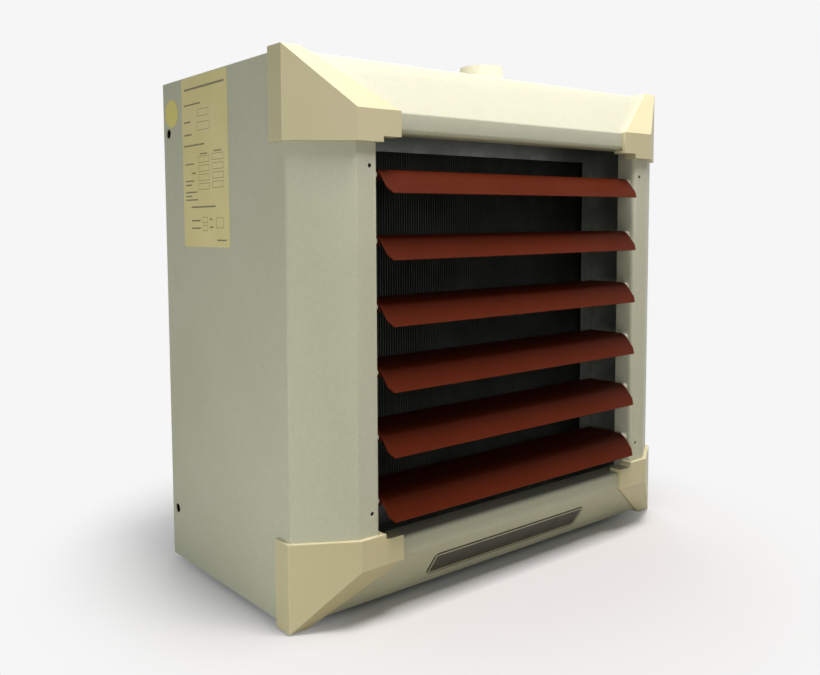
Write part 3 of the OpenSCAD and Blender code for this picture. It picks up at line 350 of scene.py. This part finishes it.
# Dull galvanised sheet of the casing, the collar and the junction box
zincSheet = {
    "colour": "#878a84", "colourAged": "#7b7e77", "bloomColour": "#6d706a", "spangleMm": 9, "bloomMm": 40,
    "roughness": (0.4, 0.55), "bloomDepthMm": 0.01,
}
# Rolled aluminium of the fins, darkened with painted shade of the deep recess, and, brighter, of the fan;
# each metal's lines are drawn coarser than real ones
finMetalPaintedShade = {
    "colour": "#6d6f69", "colourAged": "#585a53", "lineStretch": (1, 1, 0.08), "lineMm": 2.0, "toneMm": 60,
    "roughness": (0.44, 0.6), "lineDepthMm": 0.01,
}
fanMetal = {
    "colour": "#b3b4b1", "colourAged": "#9c9e9a", "lineStretch": (0.3, 1, 1), "lineMm": 1.5, "toneMm": 60,
    "roughness": (0.32, 0.48), "lineDepthMm": 0.01,
}
# Drawn copper of the tubes and headers, and the cream enamel that covers it on the stub above the top panel
copperMetal = {
    "colour": "#b06a45", "colourAged": "#8c5133", "lineStretch": (0.1, 1, 0.1), "lineMm": 2.0, "toneMm": 25,
    "roughness": (0.29, 0.45), "lineDepthMm": 0.01,
}
stubFinish = dict(copperMetal, paintColour="#f2edd8", paintFromMm=-0.4, paintToMm=-0.1)
# Bright zinc plate on screws, pins and shafts, and black oxide on the darker screws and nuts
zincPlate = {
    "colour": "#b4b5b0", "colourAged": "#9b9c94", "lineStretch": (1, 1, 1), "lineMm": 1.2, "toneMm": 12,
    "roughness": (0.28, 0.44), "lineDepthMm": 0.01,
}
blackOxide = {
    "colour": "#3b3a37", "colourAged": "#2c2b29", "lineStretch": (1, 1, 1), "lineMm": 1.0, "toneMm": 8,
    "roughness": (0.36, 0.52), "lineDepthMm": 0.01,
}
materials = {
    "cabinet": bakedEnamel("baked_enamel", cabinetPaint),
    "louver": bakedEnamel("red_baked_enamel", louverPaint),
    "motor": bakedEnamel("motor_enamel", motorPaint),
    "powder": bakedEnamel("powder_coat", powderCoat),
    "cap": mouldedPlastic("moulded_cap_plastic", capPlastic),
    "nylon": mouldedPlastic("nylon", nylonPlastic),
    "label": printedFilm("label_film", labelFilm),
    "ink": printedFilm("label_ink", labelInk),
    "sticker": printedFilm("sticker_film", stickerFilm),
    "plate": borderedFilm("dark_plate_film", plateFilm),
    "zincSheet": galvanisedSteel("galvanised_sheet", zincSheet),
    # The fins' colour holds painted shade: it is darker than the bare aluminium, as the recess keeps them in
    # shadow
    "fin": drawnMetal("rolled_fin_aluminium_painted_shade", finMetalPaintedShade),
    "fan": drawnMetal("rolled_fan_aluminium", fanMetal),
    "copper": drawnMetal("drawn_copper", copperMetal),
    "stub": paintedPipe("painted_copper_stub", stubFinish),
    "zincPlate": drawnMetal("zinc_plated_steel", zincPlate),
    "blackOxide": drawnMetal("black_oxide_steel", blackOxide),
}
materialOfSlot = {
    "painted_sheet": "cabinet", "moulded_caps": "cap", "painted_louvers": "louver", "nylon": "nylon",
    "plated_steel": "zincPlate", "dark_steel": "blackOxide", "galvanised_sheet": "zincSheet",
    "aluminium": "fin", "copper": "copper", "motor_paint": "motor", "black_wire": "powder",
    "pale_label": "label", "yellow_sticker": "sticker", "dark_plate": "plate",
}
materialOfNode = {"fan_blades": "fan", "supply_header": "stub"}
for node, cadObject in frame["nodes"].items():
    cadObject.data.materials.clear()
    cadObject.data.materials.append(materials[materialOfNode.get(node, materialOfSlot[slotOfNode[node]])])
print("materials made")

# Edge radius in millimetres of the dressed copies; a node that is left out keeps its solid
edgeRadii = {
    "left_side_panel": 0.2, "right_side_panel": 0.2, "top_panel": 0.2, "bottom_panel": 0.2, "rear_panel": 0.3,
    "corner_cap_top_left": 1.6, "corner_cap_top_right": 1.6, "corner_cap_bottom_left": 1.6,
    "corner_cap_bottom_right": 1.6, "discharge_collar": 0.3, "coil_casing": 0.3, "louver_bushes": 0.3,
    "fan_blades": 0.4, "fan_hub": 0.5, "motor_shell": 0.4, "motor_front_bell": 1.2, "motor_rear_bell": 1.2,
    "motor_mount_plate": 0.4, "guard_spokes": 0.4, "junction_box": 0.4, "junction_cover": 0.4,
    "hanger_nuts": 0.5, "top_screws": 0.4, "bottom_screws": 0.4, "rear_screws": 0.4, "guard_screws": 0.4,
    "junction_screws": 0.4, "motor_bolts": 0.4, "supply_header": 0.6, "return_header": 0.6,
    "lead_fittings": 0.5, "bracket_nuts": 0.5, "knockout_plugs": 0.3, "motor_shaft": 0.5, "name_plate": 0.2,
}
louverCount = 6
for number in range(1, louverCount + 1):
    edgeRadii[f"louver_{number}"] = 0.3
    edgeRadii[f"louver_pins_{number}"] = 0.5
dressing = {"mergeMm": 0.005, "flatDeg": 0.3, "segments": 3}
sharpAngle = math.radians(30)


def dressNode(node, radiusMm):
    # A copy of the solid with its doubles merged, its flat triangles joined, and its sharp edges rounded
    mesh = frame["nodes"][node].data.copy()
    shape = bmesh.new()
    shape.from_mesh(mesh)
    bmesh.ops.remove_doubles(shape, verts=shape.verts, dist=dressing["mergeMm"] * mm)
    bmesh.ops.dissolve_limit(shape, angle_limit=math.radians(dressing["flatDeg"]), verts=shape.verts,
                             edges=shape.edges)
    shape.to_mesh(mesh)
    shape.free()
    mesh.polygons.foreach_set("use_smooth", np.ones(len(mesh.polygons), bool))
    mesh.set_sharp_from_angle(angle=sharpAngle)
    piece = bpy.data.objects.new(node + "_dressed", mesh)
    bpy.context.scene.collection.objects.link(piece)
    bevel = piece.modifiers.new("edges", "BEVEL")
    bevel.width = radiusMm * mm
    bevel.segments = dressing["segments"]
    bevel.limit_method = "ANGLE"
    bevel.angle_limit = sharpAngle
    bevel.harden_normals = True
    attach(piece, bodyOfNode[node])
    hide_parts(node)


for node, radiusMm in edgeRadii.items():
    dressNode(node, radiusMm)
print("solids dressed")


def addSurface(name, points, quads, node, material):
    # A mesh from arrays of points in metres and of corner numbers, which rides with the node that it is on
    mesh = bpy.data.meshes.new(name)
    mesh.from_pydata(points.reshape(-1, 3).tolist(), [], quads.reshape(-1, 4).tolist())
    mesh.polygons.foreach_set("use_smooth", np.ones(len(mesh.polygons), bool))
    mesh.set_sharp_from_angle(angle=sharpAngle)
    mesh.materials.append(materials[material])
    piece = bpy.data.objects.new(name, mesh)
    bpy.context.scene.collection.objects.link(piece)
    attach(piece, bodyOfNode[node])
    return piece


def ringQuads(rings, sides):
    # Corner numbers of the walls from each ring of points to the next
    start = sides * np.arange(rings - 1)[:, None]
    side = np.arange(sides)[None, :]
    following = (side + 1) % sides
    corners = [start + side, start + following, start + sides + following, start + sides + side]
    return np.stack(corners, axis=2)


finBank = {
    "edgeMm": 0.4, "pitchMm": 3.2, "thickMm": 0.35, "waveMm": 0.5, "waveLengthMm": 13.9, "stations": 29,
}


def makeFins(settings):
    # Thin plates across the coil: x is the fin's place plus the wave's height times the sine of the depth
    # over the wave's length; the real pitch is finer, and this one is as coarse as it needs to be to show
    low, high = (np.array(corner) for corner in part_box("fin_pack"))
    low, high = low + settings["edgeMm"] * mm, high - settings["edgeMm"] * mm
    pitch, wave = settings["pitchMm"] * mm, settings["waveMm"] * mm
    count = int((high[0] - low[0] - 2 * wave) / pitch) + 1
    places = (low[0] + high[0]) / 2 + (np.arange(count) - (count - 1) / 2) * pitch
    depths = np.linspace(low[1], high[1], settings["stations"])
    waves = wave * np.sin(2 * np.pi * (depths - depths[0]) / (settings["waveLengthMm"] * mm))
    faces = np.array([-1, 1, 1, -1]) * settings["thickMm"] * mm / 2
    points = np.empty((count, len(depths), 4, 3))
    points[..., 0] = places[:, None, None] + waves[:, None] + faces
    points[..., 1] = depths[:, None]
    points[..., 2] = np.array([low[2], low[2], high[2], high[2]])
    last = 4 * (len(depths) - 1)
    lids = np.array([[3, 2, 1, 0], [last, last + 1, last + 2, last + 3]])
    plate = np.concatenate([ringQuads(len(depths), 4).reshape(-1, 4), lids])
    quads = plate + (4 * len(depths) * np.arange(count))[:, None, None]
    piece = addSurface("fin_bank", points, quads[..., ::-1], "fin_pack", "fin")
    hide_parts("fin_pack")


makeFins(finBank)

conduit = {"bendMm": 32, "ribMm": 3.2, "ribDepthMm": 0.55, "stepsPerRib": 6, "sides": 24}


def makeConduit(settings):
    # A ribbed tube up a straight rise, round a quarter bend and along a level run: rings of points across the
    # path, whose radius is the lead's less the rib's depth times half of one minus the cosine of the length
    low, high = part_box("motor_lead")
    radius, bend = (high.y - low.y) / 2, settings["bendMm"] * mm
    farX, midZ = high.x - radius, high.z - radius
    rise, arc, run = midZ - bend - low.z, bend * math.pi / 2, farX - bend - low.x
    rib = settings["ribMm"] * mm
    length = np.linspace(0, rise + arc + run, int((rise + arc + run) / rib * settings["stepsPerRib"]))
    turn = np.clip((length - rise) / bend, 0, math.pi / 2)
    level = np.clip(length - rise - arc, 0, None)
    centre = np.stack([farX - bend * (1 - np.cos(turn)) - level, np.full(len(length), (low.y + high.y) / 2),
                       low.z + np.minimum(length, rise) + bend * np.sin(turn)], axis=1)
    outward = np.stack([np.cos(turn), np.zeros(len(length)), np.sin(turn)], axis=1)
    radii = radius - settings["ribDepthMm"] * mm * (0.5 - 0.5 * np.cos(2 * np.pi * length / rib))
    angle = 2 * np.pi * np.arange(settings["sides"]) / settings["sides"]
    spread = outward[:, None] * np.cos(angle)[:, None] + np.array([0, 1, 0]) * np.sin(angle)[:, None]
    points = centre[:, None] + spread * radii[:, None, None]
    quads = ringQuads(len(length), settings["sides"])
    piece = addSurface("ribbed_conduit", points, quads, "motor_lead", "zincPlate")
    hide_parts("motor_lead")
    shape = bmesh.new()
    shape.from_mesh(piece.data)
    bmesh.ops.holes_fill(shape, edges=shape.edges)
    bmesh.ops.recalc_face_normals(shape, faces=shape.faces)
    shape.to_mesh(piece.data)
    shape.free()


makeConduit(conduit)

# Strips that close the notch in each sloped rail above and below the opening's corners, in millimetres; the
# slope is as high and as deep as the panels' bent fronts, whose foremost line lies at faceY
railStrips = {
    "fromX": 189.3, "toX": 190.7, "frontY": -132.6, "rearY": -110.6, "sunk": 0.06,
    "slopeHigh": 50, "slopeDeep": 31, "faceY": -133,
}


def makeRailStrips(settings):
    # The height over the middle grows from the foremost line back by high over deep for each millimetre
    ys = np.array([settings["frontY"], settings["frontY"], settings["rearY"], settings["rearY"]])
    xs = np.array([settings["fromX"], settings["toX"], settings["toX"], settings["fromX"]])
    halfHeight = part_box("left_side_panel")[0].z / mm / -2
    slope = settings["slopeHigh"] / settings["slopeDeep"]
    rise = halfHeight - settings["slopeHigh"] + (ys - settings["faceY"]) * slope - settings["sunk"]
    corners = [(sx, sz) for sx in (-1, 1) for sz in (-1, 1)]
    points = np.stack([np.stack([sx * xs, ys + settings["sunk"], -halfHeight + sz * rise], axis=1)
                       for sx, sz in corners]) * mm
    quads = np.arange(4 * len(corners)).reshape(-1, 4)
    mirroredOnce = [1, 2]
    quads[mirroredOnce] = quads[mirroredOnce, ::-1]
    addSurface("rail_notch_strips", points, quads[:, ::-1], "top_panel", "cabinet")


makeRailStrips(railStrips)

# Ruled lines and empty boxes on the blank rating plate, as shares of its width and height: the distance from
# its front edge, the distance from its top, the length and the height
labelRules = {
    "proudMm": 0.03, "thinMm": 0.45,
    "barShares": [
        (0.06, 0.062, 0.88, 0.012), (0.58, 0.155, 0.37, 0.009), (0.80, 0.255, 0.16, 0.009),
        (0.78, 0.33, 0.17, 0.009), (0.50, 0.395, 0.46, 0.009), (0.14, 0.445, 0.16, 0.007),
        (0.44, 0.452, 0.16, 0.007), (0.74, 0.505, 0.2, 0.008), (0.70, 0.56, 0.1, 0.008),
        (0.74, 0.605, 0.2, 0.008), (0.80, 0.628, 0.14, 0.008), (0.68, 0.672, 0.27, 0.008),
        (0.80, 0.695, 0.14, 0.008), (0.66, 0.717, 0.28, 0.008), (0.28, 0.76, 0.54, 0.009),
        (0.62, 0.84, 0.2, 0.009), (0.62, 0.885, 0.2, 0.009), (0.36, 0.835, 0.05, 0.009),
        (0.34, 0.88, 0.07, 0.009), (0.06, 0.955, 0.2, 0.009),
    ],
    "boxShares": [
        (0.40, 0.195, 0.24, 0.042), (0.38, 0.27, 0.28, 0.048), (0.10, 0.462, 0.24, 0.038),
        (0.40, 0.468, 0.24, 0.038), (0.10, 0.515, 0.24, 0.038), (0.40, 0.521, 0.24, 0.038),
        (0.10, 0.568, 0.24, 0.038), (0.40, 0.574, 0.24, 0.038), (0.10, 0.621, 0.24, 0.038),
        (0.40, 0.627, 0.24, 0.038), (0.46, 0.825, 0.11, 0.034), (0.46, 0.872, 0.11, 0.034),
        (0.12, 0.83, 0.15, 0.06),
    ],
}


def makeRules(settings):
    # Each bar is a flat rectangle just above the plate; a box is four thin bars
    low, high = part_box("rating_plate")
    size = np.array([high.y - low.y, high.z - low.z])
    bars = np.array(settings["barShares"]) * np.tile(size, 2)
    left, top, wide, deep = (np.array(settings["boxShares"]) * np.tile(size, 2)).T
    thin = np.full(len(left), settings["thinMm"] * mm)
    boxBars = [(left, top, wide, thin), (left, top + deep - thin, wide, thin), (left, top, thin, deep),
               (left + wide - thin, top, thin, deep)]
    bars = np.concatenate([bars] + [np.stack(columns, axis=1) for columns in boxBars])
    ys = low.y + bars[:, [0]] + bars[:, [2]] * np.array([0, 0, 1, 1])
    zs = high.z - bars[:, [1]] - bars[:, [3]] * np.array([0, 1, 1, 0])
    points = np.stack([np.full(ys.shape, low.x - settings["proudMm"] * mm), ys, zs], axis=2)
    quads = np.arange(4 * len(bars)).reshape(-1, 4)[:, ::-1]
    addSurface("rating_plate_rules", points, quads, "rating_plate", "ink")


makeRules(labelRules)
print("detail pieces made")

# A soft box above and before the front, a small low fill for the left side, a wide fill from the left front,
# and a large one from behind on the right
lightSettings = [
    {"name": "top_box", "place": (0, -0.42, 1.25), "aim": (0, -0.08, -0.2), "sizeM": 0.55, "watts": 43,
     "colour": "#fff8f6"},
    {"name": "left_low_fill", "place": (-0.9, -0.25, -0.4), "aim": (-0.27, 0, -0.45), "sizeM": 0.2,
     "watts": 1.5, "colour": "#f6faf8"},
    {"name": "front_fill", "place": (-1.2, -1.6, -0.1), "aim": (-0.1, 0, -0.3), "sizeM": 1.2, "watts": 5.3,
     "colour": "#f8faf4"},
    {"name": "rear_fill", "place": (1.4, 2.4, 0.6), "aim": (0, 0.2, -0.25), "sizeM": 1.8, "watts": 30,
     "colour": "#ffffff"},
]


def makeLight(settings):
    # A square lamp: its third axis is the unit vector from the aim to its place, and its first lies level
    data = bpy.data.lights.new(settings["name"], "AREA")
    data.size = settings["sizeM"]
    data.energy = settings["watts"]
    data.color = linear(settings["colour"])[:3]
    light = bpy.data.objects.new(settings["name"], data)
    light.visible_camera = False
    bpy.context.scene.collection.objects.link(light)
    backward = np.array(settings["place"], float) - np.array(settings["aim"], float)
    backward = backward / np.linalg.norm(backward)
    right = np.cross((0, 0, 1), backward)
    right = right / np.linalg.norm(right)
    up = np.cross(backward, right)
    rows = [[right[i], up[i], backward[i], settings["place"][i]] for i in range(3)]
    light.matrix_world = Matrix(rows + [[0, 0, 0, 1]])


for settings in lightSettings:
    makeLight(settings)

backdropColour = "#f6f6f6"
worldSettings = {"ambient": "#eff4f3", "strength": 0.25}


def seenDirectly(tree):
    # 1 for camera, mirror and glass rays, and 0 for the rays that light the object
    path = addNode(tree, "ShaderNodeLightPath")
    seen = addNode(tree, "ShaderNodeMath", {"operation": "MAXIMUM"},
                   {0: path.outputs["Is Camera Ray"], 1: path.outputs["Is Glossy Ray"]})
    return addNode(tree, "ShaderNodeMath", {"operation": "MAXIMUM"},
                   {0: seen.outputs[0], 1: path.outputs["Is Transmission Ray"]}).outputs[0]


def makeWorld(settings):
    # Rays that see it directly get the pale backdrop, and every other ray the ambient light
    world = bpy.data.worlds.new("studio")
    bpy.context.scene.world = world
    world.use_nodes = True
    tree = world.node_tree
    tree.nodes.clear()
    ambient = addNode(tree, "ShaderNodeBackground",
                      {"Color": linear(settings["ambient"]), "Strength": settings["strength"]})
    backdrop = addNode(tree, "ShaderNodeBackground", {"Color": linear(backdropColour), "Strength": 1.0})
    mix = addNode(tree, "ShaderNodeMixShader", {},
                  {0: seenDirectly(tree), 1: ambient.outputs[0], 2: backdrop.outputs[0]})
    addNode(tree, "ShaderNodeOutputWorld", {}, {"Surface": mix.outputs[0]})


makeWorld(worldSettings)

floorSettings = {
    "sizeM": 14.0, "toneMm": 900, "colour": "#c2c2c2", "colourAged": "#c0c0c0", "bounceColour": "#a8a18c",
    "fadeFromM": 0.2, "fadeToM": 0.47,
}


def makeFloor(settings):
    # A level square just under the object, which fades into the backdrop with the distance from the middle;
    # the light that it throws up is warmer and less
    half, height = settings["sizeM"] / 2, cadLow.z
    corners = [(-half, -half, height), (half, -half, height), (half, half, height), (-half, half, height)]
    mesh = bpy.data.meshes.new("floor")
    mesh.from_pydata(corners, [], [(0, 1, 2, 3)])
    floor = bpy.data.objects.new("floor", mesh)
    bpy.context.scene.collection.objects.link(floor)
    material, tree, shader, coords = newMaterial("pale_floor", {"Roughness": 0.8, "Specular IOR Level": 0.2})
    tone = noisePattern(tree, coords, settings["toneMm"], "tone")
    colour = blendColours(tree, tone, settings["colour"], settings["colourAged"])
    tree.links.new(colour, shader.inputs["Base Color"])
    level = addNode(tree, "ShaderNodeVectorMath", {"operation": "MULTIPLY", 1: (1, 1, 0)}, {0: coords})
    away = addNode(tree, "ShaderNodeVectorMath", {"operation": "LENGTH"}, {0: level.outputs["Vector"]})
    fade = addNode(tree, "ShaderNodeMapRange", {"interpolation_type": "SMOOTHSTEP",
                   "From Min": settings["fadeFromM"], "From Max": settings["fadeToM"]},
                   {"Value": away.outputs["Value"]})
    glow = addNode(tree, "ShaderNodeEmission", {"Color": linear(backdropColour), "Strength": 1.0})
    seen = addNode(tree, "ShaderNodeMixShader", {},
                   {0: fade.outputs["Result"], 1: shader.outputs[0], 2: glow.outputs[0]})
    bounce = addNode(tree, "ShaderNodeBsdfDiffuse", {"Color": linear(settings["bounceColour"])})
    mix = addNode(tree, "ShaderNodeMixShader", {},
                  {0: seenDirectly(tree), 1: bounce.outputs[0], 2: seen.outputs[0]})
    tree.links.new(mix.outputs[0], tree.nodes["Material Output"].inputs["Surface"])
    mesh.materials.append(material)


makeFloor(floorSettings)
bpy.context.scene.view_settings.view_transform = "Standard"
print("light and floor made")
